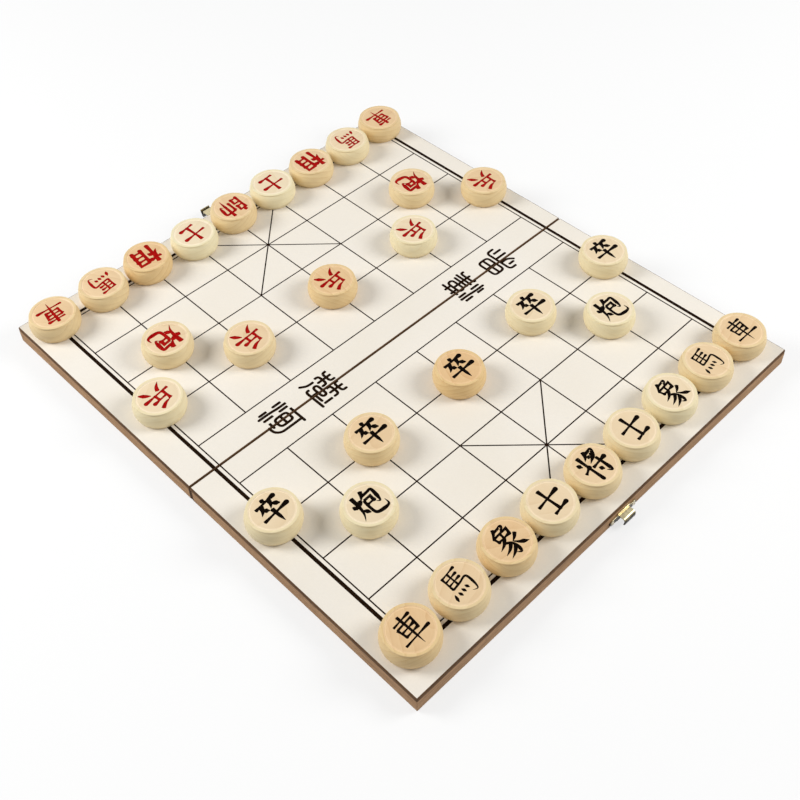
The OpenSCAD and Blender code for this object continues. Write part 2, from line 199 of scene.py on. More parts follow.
# The figures that every set carries, as brush strokes in millimetres: a side's own ones name the side
FIGURES = {
    "chariot": [
        ("bar", [(-5.4, 6.4), (5.6, 7.3)]),
        ("stem", [(-5.0, 4.2), (-4.2, -1.8)]),
        ("turn", [(-5.0, 4.1), (4.9, 4.8), (4.0, -1.6)]),
        ("bar", [(-4.2, 1.2), (3.8, 1.7)]),
        ("bar", [(-4.0, -1.7), (3.8, -1.3)]),
        ("bar", [(-8.4, -5.2), (8.4, -4.2)]),
        ("needle", [(0.0, 9.6), (0.1, 0.0), (0.0, -10.0)]),
    ],
    "horse": [
        ("stem", [(-4.4, 8.6), (-5.0, 0.2)]),
        ("bar", [(-4.2, 8.1), (4.8, 8.9)]),
        ("bar", [(-4.4, 5.3), (3.2, 5.9)]),
        ("bar", [(-4.6, 2.6), (3.0, 3.2)]),
        ("stem", [(-0.5, 8.3), (-0.8, 0.2)]),
        ("hook", [(-5.0, -0.2), (0.4, 0.3), (5.4, 0.9), (5.7, -3.6), (4.4, -8.4), (1.6, -7.4)]),
        ("dot", [(-6.9, -2.6), (-8.2, -6.4)]),
        ("dot", [(-4.6, -2.9), (-4.0, -5.6)]),
        ("dot", [(-1.8, -2.6), (-1.1, -5.2)]),
        ("dot", [(0.9, -2.4), (1.8, -4.8)]),
    ],
    "black_elephant": [
        ("fall", [(-1.2, 9.8), (-2.9, 7.4), (-5.6, 5.4)]),
        ("hook", [(-1.6, 8.2), (1.2, 8.5), (3.6, 8.7), (2.6, 7.2), (0.8, 6.0)]),
        ("stem", [(-4.8, 5.4), (-4.2, 1.9)]),
        ("turn", [(-4.8, 5.3), (4.9, 5.9), (4.0, 2.2)]),
        ("stem", [(-0.1, 5.5), (-0.3, 2.1)]),
        ("bar", [(-4.2, 2.0), (3.8, 2.4)]),
        ("fall", [(-0.6, 1.9), (-3.4, -0.8), (-7.6, -2.6)]),
        ("hook", [(-2.4, -0.6), (0.4, -2.6), (1.3, -6.0), (0.4, -9.6), (-1.9, -8.2)]),
        ("fall", [(-0.2, -2.4), (-3.2, -4.8), (-7.4, -6.4)]),
        ("fall", [(0.9, -5.0), (-2.4, -7.6), (-6.4, -9.4)]),
        ("fall", [(6.4, 1.0), (4.2, -1.0), (1.4, -2.4)]),
        ("sweep", [(1.6, -2.2), (4.2, -5.2), (8.4, -7.8)]),
    ],
    "advisor": [
        ("bar", [(-8.2, 1.8), (8.2, 2.8)]),
        ("stem", [(0.2, 9.4), (0.0, 2.0), (-0.2, -6.4)]),
        ("bar", [(-5.2, -7.0), (5.4, -6.2)]),
    ],
    "black_general": [
        ("stem", [(-3.6, 9.4), (-3.7, 0.0), (-3.6, -9.6)]),
        ("dot", [(-7.6, 6.4), (-6.2, 3.6)]),
        ("bar", [(-8.4, -1.6), (-3.4, 0.6)]),
        ("fall", [(2.4, 9.8), (0.8, 6.8), (-1.8, 4.6)]),
        ("hook", [(1.8, 7.8), (4.6, 8.2), (7.2, 8.2), (4.8, 4.6), (-0.6, 1.6)]),
        ("dot", [(1.4, 6.2), (2.6, 4.6)]),
        ("dot", [(4.2, 6.8), (5.0, 5.2)]),
        ("bar", [(-1.8, -1.2), (8.6, -0.2)]),
        ("hook", [(4.8, 2.6), (5.0, -3.0), (4.7, -9.0), (2.4, -7.4)]),
        ("dot", [(0.4, -3.2), (1.9, -5.6)]),
    ],
    "cannon": [
        ("dot", [(-8.2, 4.2), (-7.0, 1.4)]),
        ("fall", [(-2.6, 4.8), (-3.2, 3.0), (-4.4, 1.4)]),
        ("fall", [(-5.2, 9.0), (-5.3, 2.4), (-6.2, -3.2), (-8.6, -7.6)]),
        ("dot", [(-5.0, -1.4), (-2.9, -4.6)]),
        ("fall", [(1.4, 9.4), (0.0, 6.4), (-2.4, 3.8)]),
        ("hook", [(0.2, 6.2), (4.2, 6.6), (7.0, 6.7), (7.0, 2.0), (6.2, -2.4), (4.4, -1.4)]),
        ("turn", [(-0.6, 3.2), (4.0, 3.6), (3.7, 0.3)]),
        ("bar", [(-0.4, -0.1), (3.8, 0.3)]),
        ("hook", [(-0.8, 3.2), (-1.1, -2.0), (-0.4, -6.8), (3.6, -7.9), (8.2, -7.2), (8.5, -3.4)]),
    ],
    "black_soldier": [
        ("dot", [(-0.6, 9.8), (0.8, 7.6)]),
        ("bar", [(-6.6, 6.2), (6.8, 7.0)]),
        ("fall", [(-2.8, 6.2), (-4.2, 3.2), (-6.8, 0.8)]),
        ("dot", [(-3.8, 3.4), (-1.6, 1.2)]),
        ("fall", [(3.0, 6.6), (2.2, 3.8), (0.2, 1.2)]),
        ("dot", [(2.6, 3.8), (5.8, 0.8)]),
        ("bar", [(-8.6, -3.0), (8.6, -2.0)]),
        ("needle", [(0.2, 0.6), (0.1, -4.0), (0.0, -10.0)]),
    ],
    "red_elephant": [
        ("bar", [(-8.8, 4.2), (-1.6, 5.2)]),
        ("stem", [(-5.0, 9.0), (-5.1, 0.0), (-5.0, -9.0)]),
        ("fall", [(-5.2, 4.0), (-6.4, 0.2), (-8.8, -3.2)]),
        ("dot", [(-4.6, 1.6), (-2.2, -1.2)]),
        ("stem", [(0.6, 6.8), (0.9, -7.6)]),
        ("turn", [(0.6, 6.6), (7.4, 7.2), (7.2, 0.0), (7.0, -7.4)]),
        ("bar", [(0.8, 2.4), (7.1, 2.9)]),
        ("bar", [(0.9, -1.8), (7.0, -1.4)]),
        ("bar", [(0.9, -6.0), (6.9, -5.6)]),
    ],
    "red_general": [
        ("dot", [(-5.0, 9.4), (-6.2, 6.8)]),
        ("stem", [(-7.2, 6.4), (-7.1, 0.0), (-7.0, -7.0)]),
        ("turn", [(-7.1, 6.0), (-2.8, 6.4), (-3.0, 2.0)]),
        ("bar", [(-7.0, 1.6), (-3.0, 1.9)]),
        ("turn", [(-7.0, -1.6), (-2.6, -1.3), (-2.8, -6.2)]),
        ("bar", [(-7.0, -6.4), (-2.8, -6.1)]),
        ("stem", [(0.4, 4.6), (0.6, -4.4)]),
        ("hook", [(0.4, 4.7), (4.2, 5.0), (8.2, 5.2), (8.1, 0.0), (7.6, -4.0), (5.8, -2.8)]),
        ("needle", [(4.2, 9.6), (4.3, 0.0), (4.2, -10.0)]),
    ],
    "red_soldier": [
        ("fall", [(4.0, 9.6), (0.2, 7.4), (-4.2, 6.6)]),
        ("stem", [(-4.4, 6.6), (-4.4, -0.8)]),
        ("bar", [(-4.2, 2.8), (5.2, 3.6)]),
        ("stem", [(1.2, 3.0), (1.3, -0.8)]),
        ("bar", [(-8.6, -1.6), (8.6, -0.6)]),
        ("fall", [(-2.6, -3.2), (-4.2, -6.2), (-7.2, -9.0)]),
        ("dot", [(2.6, -3.2), (5.0, -5.6), (7.4, -8.6)]),
    ],
}

# The river's four marks in the old seal style, as even strokes in an upright box of this half-size
MARK_BOX = (10, 9)
WATER_STROKES = [
    [(-9.6, 7.4), (-9.6, 2.2)],
    [(-9.6, -2.4), (-9.6, -7.0)],
    [(-7.0, 9.0), (-7.0, 3.4), (-7.6, -2.6), (-7.6, -9.0)],
    [(-4.6, 8.2), (-4.6, 3.0)],
    [(-4.9, -1.6), (-4.9, -7.4)],
]
MARKS = {
    "river": WATER_STROKES + [
        [(-2.4, 8.4), (9.6, 8.4)],
        [(7.4, 8.4), (7.4, -5.6), (4.6, -8.6), (0.6, -8.6)],
        [(1.6, 5.0), (4.4, 5.0), (4.4, -3.4), (-2.0, -3.4), (-2.0, 5.0), (1.6, 5.0)],
        [(-2.0, 0.8), (4.4, 0.8)],
        [(-2.0, -6.4), (2.0, -6.4)],
    ],
    "reeds": [
        [(-5.0, 9.2), (-5.0, 0.4)],
        [(-8.6, 8.8), (-8.6, 6.0), (-1.4, 6.0), (-1.4, 8.8)],
        [(-8.6, 0.6), (-8.6, 3.4), (-1.4, 3.4), (-1.4, 0.6)],
        [(5.0, 9.2), (5.0, 0.4)],
        [(1.4, 8.8), (1.4, 6.0), (8.6, 6.0), (8.6, 8.8)],
        [(1.4, 0.6), (1.4, 3.4), (8.6, 3.4), (8.6, 0.6)],
        [(0.0, -1.4), (4.4, -1.4), (4.4, -4.4), (-4.4, -4.4), (-4.4, -1.4), (0.0, -1.4)],
        [(0.0, -4.4), (0.0, -9.0)],
        [(0.0, -6.7), (6.2, -6.7)],
        [(-7.4, -1.2), (-7.4, -5.6), (-9.8, -9.0)],
        [(-4.6, -6.6), (-4.6, -9.0), (9.8, -9.0)],
        [(8.6, -1.2), (8.6, -6.4)],
    ],
    "stream": WATER_STROKES + [
        [(-2.4, 7.0), (9.8, 7.0)],
        [(1.2, 9.2), (1.2, 4.8)],
        [(6.0, 9.2), (6.0, 4.8)],
        [(3.6, 4.2), (8.8, 4.2), (8.8, 0.4), (-1.6, 0.4), (-1.6, 4.2), (3.6, 4.2)],
        [(3.6, 4.2), (3.6, -9.2)],
        [(-1.6, -2.2), (8.8, -2.2)],
        [(-2.4, -4.7), (9.8, -4.7)],
        [(-1.6, -9.2), (-1.6, -7.2), (8.8, -7.2), (8.8, -9.2)],
    ],
    "border": [
        [(0.0, 9.2), (7.0, 9.2), (7.0, 1.6), (-7.0, 1.6), (-7.0, 9.2), (0.0, 9.2)],
        [(0.0, 9.2), (0.0, 1.6)],
        [(-7.0, 5.4), (7.0, 5.4)],
        [(-9.8, -6.2), (-9.8, -1.2), (9.8, -1.2), (9.8, -6.2)],
        [(-2.2, -1.2), (-2.2, -6.4), (-5.0, -9.2)],
        [(2.2, -1.2), (2.2, -9.2)],
        [(-6.4, -3.6), (-6.4, -7.4)],
        [(6.4, -3.6), (6.4, -9.2)],
    ],
}


def srgb(red, green, blue):
    """A colour given by its 0 to 255 screen values, in the linear values that shaders take."""
    parts = [value / 255 for value in (red, green, blue)]
    return (*[p / 12.92 if p <= 0.04045 else ((p + 0.055) / 1.055) ** 2.4 for p in parts], 1.0)


def blend_colour(first, second, share):
    return tuple(a + (b - a) * share for a, b in zip(first, second))


# Node trees
def plug(tree, value, socket):
    """Links a socket to another one, or sets its own value."""
    if isinstance(value, bpy.types.NodeSocket):
        tree.links.new(value, socket)
    else:
        socket.default_value = value


def add_node(tree, kind, inputs=None, **properties):
    """Adds a node with its properties and its inputs, which are given by name or number."""
    node = tree.nodes.new(kind)
    for name, value in properties.items():
        setattr(node, name, value)
    for key, value in (inputs or {}).items():
        plug(tree, value, node.inputs[key])
    return node


def maths(tree, operation, *values):
    node = add_node(tree, "ShaderNodeMath", dict(enumerate(values)), operation=operation)
    return node.outputs[0]


def parts_of(tree, vector):
    """A vector's three lengths."""
    return add_node(tree, "ShaderNodeSeparateXYZ", {0: vector}).outputs


def new_surface(name, roughness, metallic=0.0, coat=0.0, specular=0.5):
    """A new material with a shader: returns the material, its tree and the shader."""
    material = bpy.data.materials.new(name)
    material.use_nodes = True
    shader = material.node_tree.nodes["Principled BSDF"]
    values = {"Roughness": roughness, "Metallic": metallic, "Specular IOR Level": specular,
              "Coat Weight": coat, "Coat Roughness": COAT_ROUGHNESS}
    for label, value in values.items():
        shader.inputs[label].default_value = value
    return material, material.node_tree, shader


def pattern_space(tree, size, centre=(0, 0, 0), turn=(0, 0, 0)):
    """Object coordinates about a centre, turned, and counted in a pattern's own size in millimetres."""
    place = add_node(tree, "ShaderNodeTexCoord").outputs["Object"]
    mapping = add_node(tree, "ShaderNodeMapping", {
        "Vector": place,
        "Location": centre,
        "Rotation": turn,
        "Scale": [value * MM for value in size],
    }, vector_type="TEXTURE")
    return mapping.outputs["Vector"]


def offsets(tree, centre=(0, 0, 0), size=1.0):
    """How far a point lies from a centre along X, Y and Z, counted in a size in millimetres."""
    return parts_of(tree, pattern_space(tree, (size, size, size), centre))


def noise(tree, size, detail, roughness=0.55, distortion=0.0, **place):
    """Soft noise with blotches of a size in millimetres."""
    node = add_node(tree, "ShaderNodeTexNoise", {
        "Vector": pattern_space(tree, size, **place), "Scale": 1.0, "Detail": detail,
        "Roughness": roughness, "Distortion": distortion,
    })
    return node.outputs["Fac"]


def ramp(tree, value, stops):
    """A colour for each value: stops are (value, colour)."""
    node = add_node(tree, "ShaderNodeValToRGB", {"Fac": value})
    elements = node.color_ramp.elements
    while len(elements) < len(stops):
        elements.new(0.5)
    for element, (position, colour) in zip(elements, stops):
        element.position = position
        element.color = colour
    return node.outputs["Color"]


def spread(tree, value, low, high, start=0.3, end=0.7):
    """Spreads a noise value, which mostly lies between start and end, from low to high."""
    node = add_node(tree, "ShaderNodeMapRange", {
        "Value": value, "From Min": start, "From Max": end, "To Min": low, "To Max": high,
    })
    return node.outputs["Result"]


def tint(tree, share, first, second, kind="MIX"):
    """Mixes two colours by a share, given as values or as sockets."""
    node = add_node(tree, "ShaderNodeMix", {0: share, 6: first, 7: second},
                    data_type="RGBA", blend_type=kind)
    return node.outputs[2]


def finish(tree, shader, colour, roughness, height, depth):
    """Gives a surface its colour, its roughness and a relief: a height from 0 to 1 over a depth."""
    plug(tree, colour, shader.inputs["Base Color"])
    plug(tree, roughness, shader.inputs["Roughness"])
    bump = add_node(tree, "ShaderNodeBump", {"Height": height, "Distance": depth * MM, "Strength": 1.0})
    tree.links.new(bump.outputs["Normal"], shader.inputs["Normal"])


# Finishes
def cream_print():
    """The printed face of the board: cream lacquer over a smooth sheet, a little uneven."""
    material, tree, shader = new_surface("cream_print", 0.58, specular=0.15)
    cloud = noise(tree, (60, 60, 60), detail=4)
    fine = noise(tree, (0.9, 0.9, 0.9), detail=2)
    base = ramp(tree, cloud, [(0.3, srgb(243, 236, 223)), (0.7, srgb(247, 241, 231))])
    colour = tint(tree, spread(tree, fine, 0.0, 0.12), base, srgb(226, 217, 200))
    finish(tree, shader, colour, spread(tree, cloud, 0.52, 0.64), fine, 0.008)
    return material


def fibreboard(name, dark, light, along, seam_y=None):
    """Pressed fibreboard with fine fibres that lie along one direction, and painted shade beside the seam.
    """
    material, tree, shader = new_surface(name, 0.72, specular=0.15)
    fibre_size, streak_size = GRAIN_SIZES[along]
    fibres = noise(tree, fibre_size, detail=4, roughness=0.65)
    specks = noise(tree, (0.8, 0.8, 0.5), detail=3, roughness=0.7)
    streaks = noise(tree, streak_size, detail=3, roughness=0.6, distortion=0.6)
    cloud = noise(tree, (28, 28, 9), detail=3)
    grain = maths(tree, "MULTIPLY_ADD", streaks, 0.5, maths(tree, "MULTIPLY", fibres, 0.5))
    body = ramp(tree, grain, [(0.38, dark), (0.62, light)])
    speckled = tint(tree, spread(tree, specks, 0.0, 0.55, 0.52, 0.72), body, srgb(88, 62, 42))
    shade = blend_colour(dark, light, 0.35)
    clouded = tint(tree, spread(tree, cloud, 0.0, 0.35), speckled, shade)
    if seam_y is not None:
        # Painted shade: the board darkens towards the seam between the halves
        across = maths(tree, "ABSOLUTE", offsets(tree, (0, seam_y, 0), SEAM_SHADE_REACH)[1])
        seam_shade = spread(tree, across, 1.0, 0.0, 0.5, 1.0)
        clouded = tint(tree, seam_shade, clouded, srgb(44, 27, 16))
    finish(tree, shader, clouded, spread(tree, fibres, 0.62, 0.8), specks, 0.05)
    return material


def metal(name, colour, tarnish_and_shade, roughness, heights=None):
    """Thin stamped sheet metal with fine scratches and oxidised patches, and painted shade that darkens it
    below given heights.
    """
    material, tree, shader = new_surface(name, roughness, metallic=1.0)
    cloud = noise(tree, (2.2, 2.2, 2.2), detail=4, roughness=0.6)
    wear_and_shade = cloud
    if heights:
        # Painted shade: below the given heights the metal turns to its dark colour
        rise = spread(tree, offsets(tree)[2], 0.0, 0.65, *heights)
        wear_and_shade = maths(tree, "MULTIPLY_ADD", cloud, 0.35, rise)
    scratches = noise(tree, (2.5, 0.08, 0.08), detail=2, turn=(0.3, 0.2, 0.5))
    blend = ramp(tree, wear_and_shade, [(0.3, tarnish_and_shade), (0.7, colour)])
    finish(tree, shader, blend, spread(tree, cloud, roughness + 0.12, roughness - 0.06), scratches, 0.006)
    return material


def ink(name, colour, faded, roughness):
    """Printing ink or enamel that covers a little unevenly."""
    material, tree, shader = new_surface(name, roughness, specular=0.02)
    patches = noise(tree, (1.4, 1.4, 1.4), detail=4, roughness=0.6)
    blend = ramp(tree, patches, [(0.35, colour), (0.75, faded)])
    finish(tree, shader, blend, spread(tree, patches, roughness - 0.05, roughness + 0.12), patches, 0.01)
    return material


def groove_painted_highlight(tree, place):
    """A painted highlight: the turned groove is paler than the face and the side, a colour by the distance
    from the axis.
    """
    squares = [maths(tree, "POWER", place[axis], 2.0) for axis in (0, 1)]
    distance = maths(tree, "SQRT", maths(tree, "ADD", *squares))
    face, groove, side = srgb(246, 241, 234), (1, 1, 1, 1), srgb(247, 249, 236)
    reach = 2 * GROOVE_R
    return ramp(tree, maths(tree, "DIVIDE", distance, reach), [
        ((GROOVE_R - 2 * GROOVE_HALF) / reach, face),
        ((GROOVE_R - GROOVE_HALF) / reach, groove),
        ((GROOVE_R + GROOVE_HALF) / reach, groove),
        ((GROOVE_R + 2 * GROOVE_HALF) / reach, side),
    ])


def piece_wood(name, tone, centre, chance):
    """Turned and lacquered pale hardwood: year rings seen on the flat, fine fibres and soft blotches, with
    a painted highlight in the groove and painted shade towards the foot.
    """
    material, tree, shader = new_surface(name, 0.46, coat=0.05, specular=0.25)
    turn = (chance.uniform(-0.15, 0.15), chance.uniform(-0.2, 0.2), chance.uniform(0, math.tau))
    log_axis = centre + Vector((
        chance.uniform(-18, 18), chance.uniform(-18, 18), -chance.uniform(14, 34),
    )) * MM
    rings = add_node(tree, "ShaderNodeTexWave", {
        "Vector": pattern_space(tree, (1, 1, 1), log_axis, turn),
        "Scale": chance.uniform(0.09, 0.15),
        "Distortion": 2.4,
        "Detail": 2.0,
        "Detail Scale": 0.35,
    }, wave_type="RINGS", rings_direction="X", wave_profile="SAW").outputs["Fac"]
    fibres = noise(tree, (6.0, 0.3, 0.3), detail=3, roughness=0.6, centre=centre, turn=turn)
    cloud = noise(tree, (11, 7, 7), detail=2, centre=centre, turn=turn)
    light = blend_colour(srgb(253, 240, 213), srgb(243, 206, 153), tone)
    dark = blend_colour(srgb(242, 224, 188), srgb(218, 168, 111), tone)
    grown = ramp(tree, rings, [
        (0.0, light), (0.75, blend_colour(light, dark, 0.3)), (1.0, blend_colour(light, dark, 0.75)),
    ])
    fibred = tint(tree, spread(tree, fibres, 0.0, 0.4), grown, dark)
    clouded = tint(tree, spread(tree, cloud, 0.0, 0.6), fibred, light)
    place = offsets(tree, centre)
    # Painted highlight: the groove stays paler than the face and the side
    turned = tint(tree, 1.0, clouded, groove_painted_highlight(tree, place), "MULTIPLY")
    # Painted shade: the wood darkens towards the foot, where the piece stands on the board
    foot_painted_shade = tint(tree, spread(tree, place[2], 0.32, 0.0, 0.0, FOOT_SHADE), turned, srgb(150, 122, 84))
    finish(tree, shader, foot_painted_shade, spread(tree, fibres, 0.40, 0.54), fibres, 0.02)
    return material


# Meshes
def set_up(name, data):
    """A new object in the scene, at the origin."""
    thing = bpy.data.objects.new(name, data)
    bpy.context.scene.collection.objects.link(thing)
    return thing


def new_piece(name, mesh, materials):
    for material in materials:
        mesh.materials.append(material)
    return set_up(name, mesh)


def finish_piece(shape, name, materials):
    """Ends a mesh under construction as a piece with smooth faces, sharp where marked."""
    for face in shape.faces:
        face.smooth = True
    mesh = bpy.data.meshes.new(name)
    shape.to_mesh(mesh)
    shape.free()
    return new_piece(name, mesh, materials)


def dress(piece, body, slot, *nodes):
    """Puts a finished piece on its body and hides the CAD nodes that it stands for; the slot is not used.
    """
    if nodes:
        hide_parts(*nodes)
    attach(piece, body)


def ease_edges(shape, edges, radius, segments=2):
    """Rounds the edges over a radius in millimetres, and keeps flat faces flat beside the rounding."""
    rounded = set(bmesh.ops.bevel(
        shape, geom=edges, offset=radius * MM, offset_type="OFFSET", segments=segments,
        profile=0.5, affect="EDGES", clamp_overlap=False,
    )["faces"])
    for edge in shape.edges:
        if len(edge.link_faces) == 2:
            first, second = edge.link_faces
            alike = (first in rounded) == (second in rounded)
            edge.smooth = alike and edge.calc_face_angle(0) < SHARP_ANGLE


def sharp_edges(shape, shortest):
    """The edges between faces that meet at an angle, from a shortest length in millimetres."""
    return [
        edge for edge in shape.edges
        if len(edge.link_faces) == 2
        and edge.calc_face_angle(0) > SHARP_ANGLE
        and edge.calc_length() > shortest * MM
    ]


def dress_rounded(node, body, slot, material, radius, shortest):
    """A copy of a CAD node with rounded edges, from a shortest length on, which stands for the node."""
    shape = bmesh.new()
    shape.from_mesh(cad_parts[node].data)
    bmesh.ops.remove_doubles(shape, verts=shape.verts, dist=CAD_WELD * MM)
    bmesh.ops.dissolve_limit(shape, angle_limit=FLAT_ANGLE, verts=shape.verts, edges=shape.edges)
    ease_edges(shape, sharp_edges(shape, shortest), radius)
    dress(finish_piece(shape, f"rounded_{node}", [material]), body, slot, node)


# Strokes, which are outlines in millimetres on a flat face
def smooth_path(points):
    """More points along a soft curve through the given ones."""
    last = len(points) - 1
    path = []
    for i in range(last):
        before, start = points[max(i - 1, 0)], points[i]
        end, after = points[i + 1], points[min(i + 2, last)]
        for step in range(CURVE_STEPS):
            t = step / CURVE_STEPS
            path.append(0.5 * (
                2 * start + (end - before) * t
                + (2 * before - 5 * start + 4 * end - after) * t ** 2
                + (3 * start - before - 3 * end + after) * t ** 3))
    return path + [points[last]]


def straight_path(points):
    path = []
    for a, b in zip(points, points[1:]):
        path += [a.lerp(b, step / STRAIGHT_STEPS) for step in range(STRAIGHT_STEPS)]
    return path + [points[-1]]


def half_widths(path, widths):
    """The brush's half-width at each point of a path, from its even list of half-widths."""
    lengths = [0.0]
    for a, b in zip(path, path[1:]):
        lengths.append(lengths[-1] + (b - a).length)
    result = []
    for length in lengths:
        place = length / lengths[-1] * (len(widths) - 1)
        index = min(int(place), len(widths) - 2)
        result.append(widths[index] + (widths[index + 1] - widths[index]) * (place - index))
    return result


def cap(centre, side, radius):
    """Points round an end, from its left side to its right side."""
    points = []
    for step in range(1, END_STEPS + 1):
        turn = Quaternion((0, 0, 1), -math.pi * step / (END_STEPS + 1))
        points.append(centre + (turn @ side.to_3d()).to_2d() * radius)
    return points


def outline(path, radii):
    """The outline of a stroke along a path, mitred at its corners, with round ends."""
    left, right, sides = [], [], []
    for i, point in enumerate(path):
        before = (path[max(i, 1)] - path[max(i, 1) - 1]).normalized()
        after = (path[min(i + 1, len(path) - 1)] - path[min(i, len(path) - 2)]).normalized()
        run = (before + after).normalized()
        side = Vector((-run.y, run.x))
        reach = radii[i] / max(side.dot(Vector((-before.y, before.x))), MITRE_LIMIT)
        left.append(point + side * reach)
        right.append(point - side * reach)
        sides.append(side)
    far_end = cap(path[-1], sides[-1], radii[-1])
    near_end = cap(path[0], -sides[0], radii[0])
    return [*reversed(left), *near_end, *right, *reversed(far_end)]


def brush_strokes(figure, weight, scale, turn):
    """The outlines of a figure's brush strokes by their weight, scaled and turned about its middle."""
    cosine, sine = math.cos(turn) * scale, math.sin(turn) * scale
    outlines = []
    for kind, corners in FIGURES[figure]:
        points = [Vector((x * cosine - y * sine, x * sine + y * cosine)) for x, y in corners]
        path = straight_path(points) if kind in STRAIGHT_STROKES else smooth_path(points)
        outlines.append(outline(path, half_widths(path, [weight * width for width in BRUSH[kind]])))
    return outlines


def round_corners(points, radius):
    """A path through the points whose inner corners are rounded off."""
    path = [points[0]]
    for before, corner, after in zip(points, points[1:], points[2:]):
        start = corner + (before - corner).normalized() * min(radius, (before - corner).length / 2)
        end = corner + (after - corner).normalized() * min(radius, (after - corner).length / 2)
        for step in range(CORNER_STEPS + 1):
            t = step / CORNER_STEPS
            path.append(start.lerp(corner, t).lerp(corner.lerp(end, t), t))
    return path + [points[-1]]


def even_strokes(strokes, radius, corner_radius):
    """The outlines of even strokes with round corners, each short run on its own."""
    outlines = []
    for points in strokes:
        path = round_corners(points, corner_radius)
        for a, b in zip(path, path[1:]):
            if (b - a).length > SHORTEST_RUN * radius:
                outlines.append(outline([a, b], [radius, radius]))
    return outlines


def circle(radius, steps, middle=0.0):
    """Points round a circle whose middle lies on the Y axis."""
    angles = [math.tau * i / steps for i in range(steps)]
    return [Vector((radius * math.cos(a), middle + radius * math.sin(a))) for a in angles]


def cut_by_strokes(border, outlines):
    """Cuts the flat shape inside a border along the strokes' outlines.

    Returns the points, the triangles that no stroke covers and the triangles under the strokes."""
    points, loops = [], []
    for loop in [border, *outlines]:
        area = sum(a.cross(b) for a, b in zip(loop, loop[1:] + loop[:1]))
        loops.append(list(range(len(points), len(points) + len(loop))))
        points += loop if area > 0 else loop[::-1]
    points, _, triangles, _, _, inside = geometry.delaunay_2d_cdt(points, [], loops, 1, CUT_WELD)
    bare, covered = [], []
    for triangle, around in zip(triangles, inside):
        if 0 in around:
            (covered if max(around) > 0 else bare).append(triangle)
    return points, bare, covered


def rims(triangles):
    """The directed edges that only one of the triangles has."""
    edges = {(t[i], t[(i + 1) % len(t)]) for t in triangles for i in range(len(t))}
    return [(a, b) for a, b in edges if (b, a) not in edges]


def layer(shape, points, triangles, centre, height):
    """Adds points at a height and returns the new vertices by their number."""
    used = sorted({i for triangle in triangles for i in triangle})
    return {i: shape.verts.new((*(centre + points[i] * MM), height)) for i in used}


def add_ink_film(shape, border, outlines, centre, base, top):
    """Adds a thin closed film of ink where the strokes lie inside the border."""
    points, _, covered = cut_by_strokes(border, outlines)
    upper = layer(shape, points, covered, centre, top)
    lower = layer(shape, points, covered, centre, base)
    for triangle in covered:
        shape.faces.new([upper[i] for i in triangle])
        shape.faces.new([lower[i] for i in reversed(triangle)])
    for a, b in rims(covered):
        shape.faces.new([upper[b], upper[a], lower[a], lower[b]])


# Geometry Nodes trees
def new_tree(name, inputs):
    """A new tree with named inputs beside its geometry: the tree, its inputs and their identifiers."""
    tree = bpy.data.node_groups.new(name, "GeometryNodeTree")
    tree.interface.new_socket("Geometry", in_out="INPUT", socket_type="NodeSocketGeometry")
    sockets = {
        label: tree.interface.new_socket(label, in_out="INPUT", socket_type=f"NodeSocket{kind}").identifier
        for label, kind in inputs.items()
    }
    tree.interface.new_socket("Geometry", in_out="OUTPUT", socket_type="NodeSocketGeometry")
    return tree, add_node(tree, "NodeGroupInput").outputs, sockets


def finish_tree(tree, shape, material):
    """Ends a tree: makes its copies real and gives them their material."""
    real = add_node(tree, "GeometryNodeRealizeInstances", {"Geometry": shape})
    finished = add_node(tree, "GeometryNodeSetMaterial", {
        "Geometry": real.outputs[0], "Material": material,
    })
    add_node(tree, "NodeGroupOutput", {"Geometry": finished.outputs[0]})


# Turned bodies of the game pieces, made once by Geometry Nodes
def side_arc(start, end):
    """Points of a flat arc between two (radius, height) places, upright at the end."""
    points = []
    for step in range(SIDE_STEPS + 1):
        a = SIDE_SWEEP * (1 - step / SIDE_STEPS)
        out = (math.cos(a) - math.cos(SIDE_SWEEP)) / (1 - math.cos(SIDE_SWEEP))
        rise = 1 - math.sin(a) / math.sin(SIDE_SWEEP)
        points.append((start[0] + (end[0] - start[0]) * out, start[1] + (end[1] - start[1]) * rise))
    return points


def piece_profile(radius, height):
    """Half of a piece's outline, from its foot, which stands on the print, to its sunk face."""
    belly = (radius, BELLY_HEIGHT)
    neck = (LIP_R - NECK_DEPTH, height - LIP_HEIGHT - NECK_HEIGHT / 2)
    points = [(0.0, FOOT_LIFT), *side_arc((FOOT_R, FOOT_LIFT), belly)]
    points += side_arc((LIP_R, neck[1] - NECK_HEIGHT / 2), belly)[-2::-1]
    points += [neck, (LIP_R, height - LIP_HEIGHT), (LIP_R, height - LIP_ROUND)]
    for step in range(1, LIP_STEPS + 1):
        a = math.pi / 2 * step / LIP_STEPS
        points.append((LIP_R - LIP_ROUND * (1 - math.cos(a)), height - LIP_ROUND * (1 - math.sin(a))))
    points += [(GROOVE_R + out * GROOVE_HALF, height - down * GROOVE_DEPTH) for out, down in GROOVE_SHAPE]
    return points + [(GROOVE_R - GROOVE_HALF, height - FACE_DROP)]


